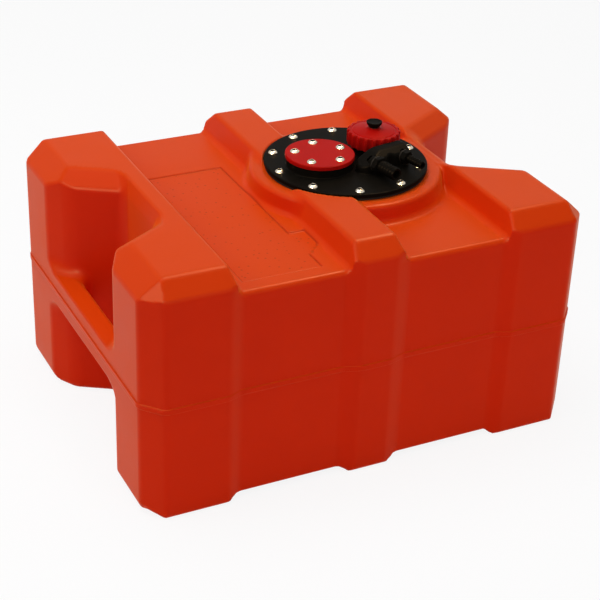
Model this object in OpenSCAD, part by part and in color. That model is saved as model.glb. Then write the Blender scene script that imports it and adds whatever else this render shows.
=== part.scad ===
// Inboard fuel tank: a hollow moulded shell with carrying handles, and a bolted cover plate that
// carries the filler, the gauge sender port, the vent and the fuel outlet.
// X runs along the tank, Y across it and Z up; the origin is under the middle of the feet.

/* [Tank] */
// Length over the end faces
tank_l = 500; // [460:1:540]
// Width over the bands
tank_w = 384; // [350:1:420]
// Height over the bands
tank_h = 266; // [250:1:290]
// Wall thickness of the moulding
wall = 5; // [4:0.5:6]
// Width of each end band along the tank
end_band = 89.5; // [84:0.5:96]
// Width of the middle band at its top
mid_band = 41; // [36:1:48]
// Depth of the top panels below the bands
top_step = 26; // [22:1:30]
// Slope run of the band sides on the top
top_run = 6.5; // [3:0.5:9]
// Depth of the side panels behind the bands
side_step = 6; // [3:0.5:9]
// Slope run of the band sides on the long walls
side_run = 8; // [4:0.5:12]
// Height of the feet under the bands
foot_h = 5; // [3:0.5:7]
// Bevel along the outer top edge of the side panels
panel_bevel = 8; // [4:0.5:12]

/* [Tank edges] */
// Top bevel of the end faces, measured along the tank
end_bevel_in = 21; // [14:0.5:26]
// Top bevel of the end faces, measured down
end_bevel_drop = 21; // [14:0.5:26]
// Top bevel of the long walls, measured across the tank
side_bevel_in = 18.5; // [12:0.5:24]
// Top bevel of the long walls, measured down
side_bevel_drop = 17.5; // [12:0.5:22]
// Upright corner bevel, measured along the tank
corner_x = 15; // [8:0.5:22]
// Upright corner bevel, measured across the tank
corner_y = 22; // [10:0.5:30]
// Height of the middle of the mould parting bead
part_z = 128; // [115:1:140]
// Height of the parting bead
bead_h = 6; // [3:0.5:8]
// How far the parting bead stands out
bead_out = 1.2; // [0.6:0.1:2]

/* [Handles] */
// Depth of each end notch
notch_depth = 65; // [58:0.5:72]
// Half width of the notch at its back wall
notch_half = 46; // [40:0.5:52]
// Opening of the notch walls, run across for each millimetre along
notch_flare = 0.6; // [0.45:0.01:0.7]
// Mouth corner bevel, measured along the tank
mouth_x = 16; // [8:0.5:20]
// Mouth corner bevel, measured across the tank
mouth_y = 28; // [15:0.5:34]
// Top bevel of the notch walls, measured square to the wall
notch_bevel = 19; // [12:0.5:22]
// Top bevel of the notch walls, measured down
notch_drop = 21; // [14:0.5:24]
// Top bevel of the left back wall, measured along the tank
sill_bevel = 4; // [2:0.5:8]
// Top bevel of the left back wall, measured down
sill_drop = 12; // [6:0.5:16]
// Top bevel of the lowered right back wall, measured along the tank
saddle_bevel = 16; // [10:0.5:20]
// Top bevel of the lowered right back wall, measured down
saddle_drop = 22; // [12:0.5:26]
// Thickness of the handle bar along the tank
handle_t = 25; // [20:0.5:28]
// Height of the handle bar
handle_h = 36; // [28:0.5:42]
// Edge bevel of the handle bar
handle_edge = 8; // [4:0.5:10]

/* [Label pad] */
// Depth of the sunken bare label pad
pad_depth = 1; // [0.5:0.1:2]
// Margin of the pad from the left foot of its panel
pad_left = 15; // [8:1:25]
// Margin of the pad from the right foot of its panel
pad_right = 26; // [24:1:34]
// Margin of the pad from the front wall
pad_front = 21; // [15:1:30]
// Margin of the pad from the back wall
pad_back = 100; // [80:1:120]
// Width of the tab on the right of the pad
tab_w = 18; // [10:1:20]
// Length of the tab
tab_l = 32; // [20:1:40]
// Distance of the tab from the front wall
tab_front = 66; // [60:1:75]

/* [Cover plate] */
// Distance of the cover centre from the middle of the tank
boss_x = 57; // [52:1:62]
// Radius of the round boss under the cover
boss_r = 104; // [100:0.5:106]
// Drop of the boss below the bands
boss_drop = 6; // [4:0.5:9]
// Radius of the cover plate
cover_r = 89; // [84:0.5:95]
// Cover radius for which the places and radii of the fittings are given
fit_r = 89; // [87:0.5:93]
// Thickness of the cover plate
cover_t = 5; // [4:0.5:7]
// Rim bevel of the cover plate
cover_bevel = 1.5; // [0.5:0.1:2]
// Thickness of the cover gasket
gasket_t = 2; // [1:0.5:3]
// Gasket set back from the cover rim
gasket_inset = 1; // [0.5:0.5:2]
// Width of the gasket seat between the opening and the cover rim
seat_w = 16; // [15:0.5:19]
// Distance of the cover screws from the cover rim
screw_inset = 9; // [8:0.5:10]
// Number of cover screws
screw_count = 10; // [8:1:12]
// Turn of the cover screws
screw_turn = 1.5; // [0:0.5:3]

/* [Fasteners] */
// Radius of a screw shank
screw_r = 3; // [2.5:0.1:3.2]
// Radius of a screw head
head_r = 5.1; // [4.6:0.1:5.6]
// Height of a screw head
head_h = 3.2; // [2.6:0.1:4]
// Radius of the crown of a screw head
head_crown_r = 6; // [5.8:0.1:8]
// Hexagon socket across corners
socket_d = 4.6; // [3:0.1:5]
// Depth of the hexagon socket
socket_depth = 1.9; // [1:0.1:2.2]
// Radius of a brass insert
insert_r = 4.5; // [4.2:0.1:4.8]
// Length of a cover insert
insert_l = 13; // [10:0.5:16]
// Length of a sender insert
sender_insert_l = 9; // [7:0.5:10]
// Radial clearance of a thread shown as a plain cylinder
thread_gap = 0.05; // [0.02:0.01:0.08]
// Radial clearance of a screw in a plain hole
hole_gap = 0.4; // [0.2:0.1:0.6]

/* [Sender port] */
// Port centre from the cover centre, along the tank
sender_x = -33; // [-35:0.5:-32.5]
// Port centre from the cover centre, across the tank
sender_y = -2.5; // [-3.5:0.5:2]
// Turn of the sender screw pattern
sender_turn = 8.5; // [0:0.5:20]
// Radius of the collar under the sender plate
collar_r = 36; // [34:0.5:37]
// Height of the collar
collar_h = 10; // [9.5:0.5:12]
// Radius of the port through the collar
port_r = 20; // [16:0.5:21]
// Thickness of the sender gasket
sender_gasket_t = 1.5; // [1:0.5:2]
// Radius of the sender plate
sender_plate_r = 37.5; // [37:0.5:38]
// Thickness of the sender plate
sender_plate_t = 3; // [2:0.5:4]
// Radius of the circle of sender screws
sender_circle_r = 27; // [26.5:0.1:28]
// Number of sender screws
sender_count = 5; // [4:1:6]

/* [Filler] */
// Filler centre from the cover centre, along the tank
cap_x = 41; // [40:0.5:43]
// Filler centre from the cover centre, across the tank
cap_y = 14; // [12:0.5:16]
// Outer radius of the filler neck
neck_r = 23; // [21:0.5:24]
// Bore radius of the filler neck
neck_bore_r = 19; // [16:0.5:19.5]
// Height of the filler neck
neck_h = 18; // [17:0.5:22]
// Outer radius of the cap
cap_r = 29.3; // [27.5:0.1:30]
// Height of the cap skirt and roof
cap_h = 15; // [13:0.5:16]
// Thickness of the cap roof
roof_t = 3; // [2:0.5:4]
// Thickness of the cap gasket
cap_gasket_t = 2; // [1:0.5:3]
// Radial clearance between the cap skirt and the neck
cap_gap = 0.4; // [0.3:0.05:0.6]
// Number of grip flutes round the cap
flute_count = 20; // [12:1:24]
// Radius of a grip flute
flute_r = 2.4; // [1.5:0.1:3]
// Depth of a grip flute
flute_depth = 1.3; // [0.6:0.1:1.8]
// Edge bevel of the cap
cap_bevel = 1.5; // [0.5:0.1:2]
// Base radius of the raised centre of the cap
crown_r = 24; // [18:0.5:25]
// Top radius of the raised centre of the cap
crown_top_r = 7; // [5.5:0.1:9]
// Height of the raised centre of the cap
crown_h = 3.2; // [2:0.1:5]

/* [Bleed knob] */
// Top radius of the knob
knob_top_r = 9; // [8:0.1:11]
// Bottom radius of the knob
knob_foot_r = 5.7; // [5.3:0.1:7]
// Height of the knob
knob_h = 6; // [5:0.5:10]
// Edge bevel of the knob
knob_bevel = 0.8; // [0.3:0.1:1.2]
// Radius of the knob stem
stem_r = 2.5; // [2:0.1:3]
// Length of the stem below the knob
stem_l = 14.5; // [13:0.5:18]
// Radial running clearance of the stem
stem_gap = 0.05; // [0.02:0.01:0.1]
// Outer radius of the knob seal
seal_r = 5.2; // [4.5:0.1:5.2]
// Thickness of the knob seal
seal_t = 0.8; // [0.5:0.1:1.5]
// Outer radius of the stem clip
clip_r = 5; // [4:0.1:6]
// Thickness of the stem clip
clip_t = 1.2; // [0.8:0.1:1.6]
// Depth of the clip groove in the stem
groove_depth = 0.6; // [0.4:0.1:0.8]
// Length of stem below the clip
stem_end = 1.2; // [0.8:0.1:2]

/* [Hose block] */
// Turn of the hose block about the filler
block_turn = 12; // [9:0.5:14]
// Left end of the block from the filler axis
block_left = 54; // [52.5:0.5:55]
// Right end of the block from the filler axis
block_right = 11; // [10:0.5:13]
// Back of the block from the filler axis
block_back = 28.5; // [27:0.5:29]
// Front of the block from the filler axis
block_front = 51; // [50:0.5:53]
// Height of the block above the cover
block_h = 20; // [20:0.5:22]
// Corner radius of the right end of the block
block_corner = 5; // [2:0.5:8]
// Bevel along the top front edge of the block
block_bevel = 4; // [1:0.5:6]
// Height of the hose axes above the cover
hose_z = 11; // [10:0.5:11]
// Vent axis from the filler axis
vent_off = 38.5; // [38:0.5:40]
// Clearance round the cap
cap_room = 1.2; // [0.8:0.1:2]

/* [Hose tails] */
// Crest radius of the vent tail
vent_crest_r = 7; // [6.5:0.1:8]
// Bore radius of the vent tail
vent_bore_r = 4.5; // [3.5:0.1:4.8]
// Thread radius of the vent tail
vent_thread_r = 6.5; // [6:0.1:7]
// Hexagon of the vent tail across flats
vent_hex = 17; // [16:0.5:18]
// Barbed length of the vent tail
vent_l = 25; // [20:0.5:26]
// Crest radius of the outlet tail
outlet_crest_r = 4.5; // [4:0.1:5]
// Bore radius of the outlet tail
outlet_bore_r = 2.5; // [2:0.1:2.8]
// Thread radius of the outlet tail
outlet_thread_r = 5; // [4.8:0.1:5.4]
// Hexagon of the outlet tail across flats
outlet_hex = 13; // [12:0.5:14]
// Barbed length of the outlet tail
outlet_l = 23; // [18:0.5:24]
// Depth of a barb below its crest
barb_depth = 0.8; // [0.5:0.1:1]
// Length of a barb land
land_l = 1.2; // [0.8:0.1:1.4]
// Number of barbs on a tail
barb_count = 6; // [3:1:6]
// Thickness of a hexagon
hex_t = 6.5; // [5:0.5:8]
// Length of a tail thread
thread_l = 7; // [5:0.5:8]
// Thickness of a sealing washer
washer_t = 1.2; // [0.8:0.1:2]
// Width of a sealing washer beyond its thread
washer_w = 2; // [1.2:0.1:2]

/* [Pick-up] */
// Outer radius of the pick-up tube
tube_r = 5; // [4:0.1:6]
// Bore radius of the pick-up tube
tube_bore_r = 3.8; // [2.8:0.1:3.8]
// Depth of the stubs under the cover
stub_l = 16; // [14:0.5:20]
// Wall of the stubs under the cover
stub_wall = 3; // [2:0.5:4]
// How far the tube enters its socket and the strainer
tube_grip = 12; // [8:0.5:12]
// Outer radius of the strainer
strainer_r = 9; // [8:0.5:10]
// Wall of the strainer
strainer_wall = 1.5; // [1:0.1:2]
// Length of the strainer
strainer_l = 30; // [25:1:36]
// Thickness of the strainer end cap
end_cap_t = 3; // [2:0.5:4]
// Height of the end cap above the tank floor inside
floor_gap = 5; // [3:0.5:10]
// Width of a strainer slot
slot_w = 3; // [2:0.5:3]
// Number of strainer slots
slot_count = 6; // [4:1:8]

/* [Vent valve] */
// Radius of the valve ball
ball_r = 8; // [7.5:0.1:8.5]
// Radial clearance round the ball
ball_gap = 0.6; // [0.4:0.1:0.8]
// Clearance of the ball from its floor at rest
ball_rest = 0.3; // [0.2:0.05:0.5]
// Radius of the valve seat
seat_r = 5; // [4.5:0.1:5.5]
// Wall of the valve cage
cage_wall = 2.5; // [2:0.1:3]
// Length of the cage below its stub
cage_l = 30; // [29:0.5:36]
// Thickness of the cage floor
cage_floor_t = 4; // [3:0.5:5]
// Number of cage windows
window_count = 4; // [3:1:6]
// Width of a cage window
window_w = 5; // [3:0.5:6]

/* [Hidden] */
$fn = 64;

// Overlap that lets one cut run past another
over = 1;
half_l = tank_l / 2;
half_w = tank_w / 2;
band_x = half_l - end_band;
mid_x = mid_band / 2;
wall_x = half_l - notch_depth;
panel_z = tank_h - top_step;
boss_z = tank_h - boss_drop;
flare_angle = atan(notch_flare);
mouth_in_y = notch_half + notch_flare * (notch_depth - mouth_x);
floor_z = foot_h + wall;

// Circles on the cover, and a place or radius of a fitting brought to the cover radius
mouth_r = cover_r - seat_w;
screw_circle_r = cover_r - screw_inset;
function fitted(v) = v * cover_r / fit_r;

// Levels of the cover stack
gasket_z = boss_z;
plate_z = gasket_z + gasket_t;
cover_z = plate_z + cover_t;
collar_z = cover_z + collar_h;
sender_plate_z = collar_z + sender_gasket_t;
sender_top_z = sender_plate_z + sender_plate_t;
neck_z = cover_z + neck_h;
roof_z = neck_z + cap_gasket_t;
cap_top_z = roof_z + roof_t;
crown_z = cap_top_z + crown_h;
knob_z = crown_z + seal_t;
clip_z = knob_z - stem_l + stem_end;
passage_y = fitted(block_back + block_front) / 2;

// Levels of the pieces that hang under the cover
stub_z = plate_z - stub_l;
tube_top_z = stub_z + tube_grip;
end_cap_z = floor_z + floor_gap;
strainer_z = end_cap_z + end_cap_t;
tube_z = strainer_z + strainer_l - tube_grip;
cage_z = stub_z - cage_l;
ball_z = cage_z + cage_floor_t + ball_rest + ball_r;

tank_red = "#d2481c";
cover_black = "#1c1d1e";
fitting_red = "#b8201a";
brass = "#b08d3c";
steel = "#c9ccce";
rubber_black = "#161616";
strainer_white = "#d8d6cc";

// Outline moved inwards by t, for a list of points that runs anticlockwise
function unit(v) = v / norm(v);
function left_of(v) = [-v[1], v[0]];
function inset_point(a, b, c, t) =
    let (m = left_of(unit(b - a)), n = left_of(unit(c - b)))
    b + t * (m + n) / (1 + m * n);
function inset(points, t) =
    let (n = len(points))
    [for (i = [0 : n - 1]) inset_point(points[(i + n - 1) % n], points[i], points[(i + 1) % n], t)];

// Quarter outlines of the tank in plan, joined into one anticlockwise loop
front_half = [[mid_x, -half_w], [mid_x + side_run, side_step - half_w],
    [band_x - side_run, side_step - half_w], [band_x, -half_w], [half_l - corner_x, -half_w],
    [half_l, corner_y - half_w], [half_l, -mouth_in_y - mouth_y], [half_l - mouth_x, -mouth_in_y],
    [wall_x, -notch_half]];
function flip_y(points) = [for (i = [len(points) - 1 : -1 : 0]) [points[i][0], -points[i][1]]];
function turn_half(points) = [for (p = points) [-p[0], -p[1]]];
right_side = concat(front_half, flip_y(front_half));
plan = concat(right_side, turn_half(right_side));

end_outline = [[-half_l, 0], [half_l, 0], [half_l, tank_h - end_bevel_drop],
    [half_l - end_bevel_in, tank_h], [end_bevel_in - half_l, tank_h],
    [-half_l, tank_h - end_bevel_drop]];
side_outline = [[-half_w, 0], [half_w, 0], [half_w, tank_h - side_bevel_drop],
    [half_w - side_bevel_in, tank_h], [side_bevel_in - half_w, tank_h],
    [-half_w, tank_h - side_bevel_drop]];

// Places on the cover
module at_cover() translate([boss_x, 0, 0]) children();
module at_sender() at_cover() translate(fitted([sender_x, sender_y, 0])) rotate(sender_turn) children();
module at_cap() at_cover() translate(fitted([cap_x, cap_y, 0])) children();
module at_block() at_cap() rotate(block_turn) children();
module at_vent() at_block() translate([-fitted(vent_off), -passage_y, 0]) children();
module at_outlet() at_block() translate([0, -passage_y, 0]) children();
module on_circle(r, count) for (i = [0 : count - 1])
    rotate(i * 360 / count) translate([r, 0, 0]) children();
module both_ends() for (end = [0, 1]) mirror([end, 0, 0]) children();

// Outlines drawn across the tank or along it
module along_y(length, points) rotate([90, 0, 0]) linear_extrude(length, center = true) polygon(points);
module along_x(length, points) rotate([90, 0, 90]) linear_extrude(length, center = true) polygon(points);

module ring(outer, inner, z, height) translate([0, 0, z]) difference() {
    cylinder(r = outer, h = height);
    translate([0, 0, -over]) cylinder(r = inner, h = height + 2 * over);
}

// Space above one top panel, grown by t
module top_bay(t) along_y(2 * tank_w, [
    [mid_x + top_run - t, panel_z - t], [band_x - top_run + t, panel_z - t],
    [band_x + top_run + t, tank_h + top_step], [mid_x - top_run - t, tank_h + top_step]]);

// Space outside the bevelled edge of one top panel, grown by t
module panel_edge(t) for (side = [0, 1]) mirror([0, side, 0])
    translate([(mid_x + band_x) / 2, 0, 0]) along_x(band_x - mid_x - 2 * side_run + 2 * t, [
        [half_w - side_step - panel_bevel - t * sqrt(2), panel_z],
        [half_w, panel_z - side_step - panel_bevel - t * sqrt(2)], [half_w, panel_z]]);

// Space over the bevel of one notch wall, grown by t and reaching e to each side of the wall
module wall_bevel(t, e) {
    slope = notch_drop / notch_bevel;
    low = tank_h - notch_drop - t * sqrt(1 + slope * slope);
    translate([wall_x, notch_half, 0]) rotate(flare_angle) along_x(tank_l, [
        [-e, low - e * slope], [e, low + e * slope], [-e, low + e * slope]]);
}

// Space over both notch walls of one end, from the back wall outwards
module notch_bevels(t) for (side = [0, 1]) mirror([0, side, 0]) intersection() {
    translate([wall_x - t, -half_w, 0]) cube([tank_l, tank_w, 2 * tank_h]);
    wall_bevel(t, notch_half * cos(flare_angle));
}

// Space outside the facet between the top bevels and the upright bevel of one corner, grown by t
module corner_facet(t) {
    top = [half_l - end_bevel_in, half_w - side_bevel_in, tank_h];
    end_point = [half_l, half_w - corner_y, tank_h - end_bevel_drop];
    side_point = [half_l - corner_x, half_w, tank_h - side_bevel_drop];
    n = unit(cross(end_point - top, side_point - top));
    size = end_band;
    translate(top - t * n) rotate([0, acos(n[2]), atan2(n[1], n[0])]) translate([-size / 2, -size / 2, 0])
        cube(size);
}

// Lowered saddle between the right posts, level with the boss
module saddle(t) {
    intersection() {
        translate([band_x - top_run - t, -half_w, boss_z - t]) cube([end_band, tank_w, tank_h]);
        wall_bevel(t, tank_l);
        mirror([0, 1, 0]) wall_bevel(t, tank_l);
    }
    along_y(2 * (notch_half + t), [[wall_x - saddle_bevel - t, boss_z], [wall_x + over, boss_z],
        [wall_x + over, boss_z - saddle_drop - t], [wall_x - t, boss_z - saddle_drop - t]]);
}

// Bevel of the left back wall
module sill(t) mirror([1, 0, 0]) along_y(2 * half_w, [[wall_x - sill_bevel - t, tank_h],
    [wall_x + over, tank_h], [wall_x + over, tank_h - sill_drop], [wall_x - t, tank_h - sill_drop]]);

// Outer form of the tank, or the same form with every face moved in by t
module tank_form(t) {
    base = t > 0 ? foot_h + t : 0;
    difference() {
        intersection() {
            translate([0, 0, base]) linear_extrude(tank_h - t - base) polygon(inset(plan, t));
            along_y(2 * tank_w, inset(end_outline, t));
            along_x(2 * tank_l, inset(side_outline, t));
        }
        both_ends() top_bay(t);
        both_ends() panel_edge(t);
        both_ends() notch_bevels(t);
        both_ends() for (side = [0, 1]) mirror([0, side, 0]) corner_facet(t);
        saddle(t);
        intersection() {
            sill(t);
            mirror([1, 0, 0]) translate([band_x, -notch_half - t, 0])
                cube([notch_depth, 2 * (notch_half + t), 2 * tank_h]);
        }
    }
}

// Relief between the feet on one half of the underside
module foot_bay() along_y(2 * tank_w, [[mid_x, -over], [band_x, -over], [band_x - foot_h, foot_h],
    [mid_x + foot_h, foot_h]]);

// One handle bar with bevelled edges, across the right notch
module handle() {
    low = part_z - handle_h / 2;
    high = part_z + handle_h / 2;
    inner = half_l - handle_t;
    along_y(2 * (mouth_in_y + mouth_y), [[inner + handle_edge, low], [half_l, low],
        [half_l, high - handle_edge], [half_l - handle_edge, high], [inner + handle_edge, high],
        [inner, high - handle_edge], [inner, low + handle_edge]]);
}

// Bead along the mould parting line, on the outer walls and across the handles
module parting_bead() translate([0, 0, part_z - bead_h / 2]) {
    difference() {
        linear_extrude(bead_h) polygon(inset(plan, -bead_out));
        both_ends() translate([wall_x - bead_out - over, -mouth_in_y, -over])
            cube([notch_depth - handle_t + handle_edge + bead_out + over, 2 * mouth_in_y,
                bead_h + 2 * over]);
    }
    both_ends() translate([half_l - handle_t / 2, -mouth_in_y - mouth_y, 0])
        cube([handle_t / 2 + bead_out, 2 * (mouth_in_y + mouth_y), bead_h]);
}

// Sunken bare label pad on the left panel
module label_pad() {
    left = top_run - band_x + pad_left;
    right = -mid_x - top_run - pad_right;
    front = side_step - half_w + pad_front;
    back = half_w - side_step - pad_back;
    tab_y = side_step - half_w + tab_front;
    translate([0, 0, panel_z - pad_depth]) linear_extrude(top_step) polygon([[left, front], [right, front],
        [right, tab_y - tab_w], [right + tab_w, tab_y], [right + tab_w, tab_y + tab_l],
        [right, tab_y + tab_l], [right, back], [left, back]]);
}

module tank_body() color(tank_red) difference() {
    union() {
        difference() {
            tank_form(0);
            both_ends() foot_bay();
        }
        translate([boss_x, 0, panel_z - wall]) cylinder(r = boss_r, h = boss_z - panel_z + wall);
        both_ends() handle();
        parting_bead();
    }
    difference() {
        tank_form(wall);
        translate([boss_x, 0, panel_z - wall]) cylinder(r = boss_r, h = tank_h);
    }
    label_pad();
    at_cover() translate([0, 0, boss_z]) cylinder(r = cover_r + hole_gap, h = tank_h);
    at_cover() translate([0, 0, panel_z - wall - over]) cylinder(r = mouth_r, h = tank_h);
    at_cover() rotate(screw_turn) on_circle(screw_circle_r, screw_count) translate([0, 0, boss_z - insert_l])
        cylinder(r = insert_r + thread_gap, h = insert_l + over);
}

// Threaded brass insert, with its top at z
module insert(z, length) ring(insert_r, screw_r, z - length, length);

// Button-head screw whose head sits on z, with a shank of the given length
module screw(z, length) translate([0, 0, z]) difference() {
    union() {
        intersection() {
            cylinder(r = head_r, h = head_h);
            translate([0, 0, head_h - head_crown_r]) sphere(r = head_crown_r);
        }
        translate([0, 0, -length]) cylinder(r = screw_r - thread_gap, h = length + over);
    }
    translate([0, 0, head_h - socket_depth]) cylinder(d = socket_d, h = head_h, $fn = 6);
}

module flange_inserts() color(brass) at_cover() rotate(screw_turn) on_circle(screw_circle_r, screw_count)
    insert(boss_z, insert_l);

module flange_gasket() color(rubber_black) at_cover() rotate(screw_turn) difference() {
    ring(cover_r - gasket_inset, mouth_r, gasket_z, gasket_t);
    on_circle(screw_circle_r, screw_count) translate([0, 0, gasket_z - over])
        cylinder(r = screw_r + hole_gap, h = gasket_t + 2 * over);
}

// Hose block without its bores
module hose_block() {
    left = fitted(block_left);
    right = fitted(block_right);
    front = fitted(block_front);
    left_r = front - passage_y;
    difference() {
        translate([0, 0, plate_z]) linear_extrude(cover_t + block_h) union() {
            translate([left_r - left, -passage_y]) circle(r = left_r);
            translate([left_r - left, -front]) square([left - left_r + right - block_corner, 2 * left_r]);
            for (y = [block_corner - front, front - 2 * passage_y - block_corner])
                translate([right - block_corner, y]) circle(r = block_corner);
            translate([0, block_corner - front]) square([right, 2 * (left_r - block_corner)]);
        }
        along_x(4 * left, [[-front - over, cover_z + block_h - block_bevel - over],
            [-front + block_bevel + over, cover_z + block_h + over],
            [-front - over, cover_z + block_h + over]]);
        translate([0, 0, cover_z]) cylinder(r = fitted(cap_r) + cap_room, h = 2 * block_h);
    }
}

// Bores of one hose: down from the block, out through its front, and the thread for the tail
module hose_bores(bore, thread) {
    translate([0, 0, stub_z - over]) cylinder(r = bore, h = cover_z + hose_z - stub_z + over);
    translate([0, 0, cover_z + hose_z]) rotate([90, 0, 0]) cylinder(r = bore, h = passage_y);
    translate([0, passage_y - fitted(block_front) + thread_l + over, cover_z + hose_z]) rotate([90, 0, 0])
        cylinder(r = thread, h = passage_y);
}

module flange_plate() color(cover_black) difference() {
    union() {
        at_cover() translate([0, 0, plate_z]) rotate_extrude() polygon([[0, 0], [cover_r, 0],
            [cover_r, cover_t - cover_bevel], [cover_r - cover_bevel, cover_t], [0, cover_t]]);
        at_sender() translate([0, 0, plate_z]) cylinder(r = fitted(collar_r), h = cover_t + collar_h);
        at_cap() translate([0, 0, plate_z]) cylinder(r = fitted(neck_r), h = cover_t + neck_h);
        at_block() hose_block();
        at_outlet() translate([0, 0, stub_z]) cylinder(r = tube_r + stub_wall, h = stub_l + over);
        at_vent() translate([0, 0, stub_z]) cylinder(r = seat_r + stub_wall, h = stub_l + over);
    }
    at_cover() rotate(screw_turn) on_circle(screw_circle_r, screw_count) translate([0, 0, plate_z - over])
        cylinder(r = screw_r + hole_gap, h = cover_t + 2 * over);
    at_sender() translate([0, 0, plate_z - over]) cylinder(r = fitted(port_r), h = tank_h);
    at_sender() on_circle(fitted(sender_circle_r), sender_count)
        translate([0, 0, collar_z - sender_insert_l]) cylinder(r = insert_r + thread_gap, h = tank_h);
    at_cap() translate([0, 0, plate_z - over]) cylinder(r = fitted(neck_bore_r), h = tank_h);
    at_vent() hose_bores(seat_r, vent_thread_r);
    at_outlet() hose_bores(outlet_bore_r, outlet_thread_r);
    at_outlet() translate([0, 0, stub_z - over]) cylinder(r = tube_r + thread_gap, h = tube_grip + over);
}

module flange_screws() color(steel) at_cover() rotate(screw_turn) on_circle(screw_circle_r, screw_count)
    screw(cover_z, cover_t + gasket_t + insert_l - over);

module sender_inserts() color(brass) at_sender() on_circle(fitted(sender_circle_r), sender_count)
    insert(collar_z, sender_insert_l);

module sender_gasket() color(rubber_black) at_sender() difference() {
    ring(fitted(collar_r), fitted(port_r), collar_z, sender_gasket_t);
    on_circle(fitted(sender_circle_r), sender_count) translate([0, 0, collar_z - over])
        cylinder(r = screw_r + hole_gap, h = sender_gasket_t + 2 * over);
}

module sender_plate() color(fitting_red) at_sender() difference() {
    translate([0, 0, sender_plate_z]) cylinder(r = fitted(sender_plate_r), h = sender_plate_t);
    on_circle(fitted(sender_circle_r), sender_count) translate([0, 0, sender_plate_z - over])
        cylinder(r = screw_r + hole_gap, h = sender_plate_t + 2 * over);
}

module sender_screws() color(steel) at_sender() on_circle(fitted(sender_circle_r), sender_count)
    screw(sender_top_z, sender_plate_t + sender_gasket_t + sender_insert_l - over);

module cap_shell() color(fitting_red) at_cap() difference() {
    out = fitted(cap_r);
    bore = fitted(neck_r) + cap_gap;
    rotate_extrude() polygon([
        [bore, cap_top_z - cap_h], [out - cap_bevel, cap_top_z - cap_h],
        [out, cap_top_z - cap_h + cap_bevel], [out, cap_top_z - cap_bevel], [out - cap_bevel, cap_top_z],
        [fitted(crown_r), cap_top_z], [crown_top_r, crown_z], [stem_r + stem_gap, crown_z],
        [stem_r + stem_gap, roof_z], [bore, roof_z]]);
    on_circle(out + flute_r - flute_depth, flute_count) translate([0, 0, cap_top_z - cap_h - over])
        cylinder(r = flute_r, h = cap_h + 2 * over);
}

module cap_gasket() color(rubber_black) at_cap()
    ring(fitted(neck_r), fitted(neck_bore_r), neck_z, cap_gasket_t);

module vent_knob() color(cover_black) at_cap() rotate_extrude() polygon([
    [0, knob_z - stem_l], [stem_r, knob_z - stem_l], [stem_r, clip_z], [stem_r - groove_depth, clip_z],
    [stem_r - groove_depth, clip_z + clip_t], [stem_r, clip_z + clip_t], [stem_r, knob_z],
    [knob_foot_r, knob_z], [knob_top_r, knob_z + knob_h - knob_bevel],
    [knob_top_r - knob_bevel, knob_z + knob_h], [0, knob_z + knob_h]]);

module vent_seal() color(rubber_black) at_cap() ring(seal_r, stem_r + stem_gap, crown_z, seal_t);

module vent_retainer() color(steel) at_cap() ring(clip_r, stem_r - groove_depth + stem_gap, clip_z, clip_t);

// Barbed hose tail that points along its own +Z, with z = 0 on the face of the block
module hose_tail(crest, bore, thread, hex, length) {
    root = crest - barb_depth;
    start = washer_t + hex_t;
    pitch = length / barb_count;
    barbs = [for (i = [0 : barb_count - 1], p = [[root, pitch - land_l - barb_depth],
        [crest, pitch - land_l - barb_depth], [crest, pitch - barb_depth], [root, pitch]])
        [p[0], start + i * pitch + p[1]]];
    difference() {
        union() {
            translate([0, 0, -thread_l]) cylinder(r = thread - thread_gap, h = thread_l + washer_t + over);
            translate([0, 0, washer_t]) rotate(30) cylinder(d = hex / cos(30), h = hex_t, $fn = 6);
            rotate_extrude() polygon(concat([[0, washer_t], [root, washer_t]], barbs,
                [[0, start + length]]));
        }
        translate([0, 0, -thread_l - over]) cylinder(r = bore, h = tank_h);
    }
}

// Puts a hose tail or washer on the front face of the block
module on_block_face(off) at_block() translate([off, -fitted(block_front), cover_z + hose_z])
    rotate([90, 0, 0]) children();

module vent_tail() color(cover_black) on_block_face(-fitted(vent_off))
    hose_tail(vent_crest_r, vent_bore_r, vent_thread_r, vent_hex, vent_l);

module vent_tail_washer() color(rubber_black) on_block_face(-fitted(vent_off))
    ring(vent_thread_r + washer_w, vent_thread_r, 0, washer_t);

module outlet_tail() color(cover_black) on_block_face(0)
    hose_tail(outlet_crest_r, outlet_bore_r, outlet_thread_r, outlet_hex, outlet_l);

module outlet_tail_washer() color(rubber_black) on_block_face(0)
    ring(outlet_thread_r + washer_w, outlet_thread_r, 0, washer_t);

module pickup_tube() color(steel) at_outlet() ring(tube_r, tube_bore_r, tube_z, tube_top_z - tube_z);

module pickup_strainer() color(strainer_white) at_outlet() difference() {
    translate([0, 0, strainer_z]) cylinder(r = strainer_r, h = strainer_l);
    translate([0, 0, strainer_z - over])
        cylinder(r = strainer_r - strainer_wall, h = strainer_l - tube_grip + over);
    translate([0, 0, strainer_z]) cylinder(r = tube_r + thread_gap, h = strainer_l + over);
    for (i = [0 : slot_count - 1]) rotate(i * 360 / slot_count)
        translate([0, -slot_w / 2, strainer_z + end_cap_t])
            cube([2 * strainer_r, slot_w, strainer_l - tube_grip - 2 * end_cap_t]);
}

// End cap with a spigot inside the strainer
module pickup_end_cap() color(strainer_white) at_outlet() translate([0, 0, end_cap_z]) {
    cylinder(r = strainer_r, h = end_cap_t);
    cylinder(r = strainer_r - strainer_wall - thread_gap, h = 2 * end_cap_t);
}

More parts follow.
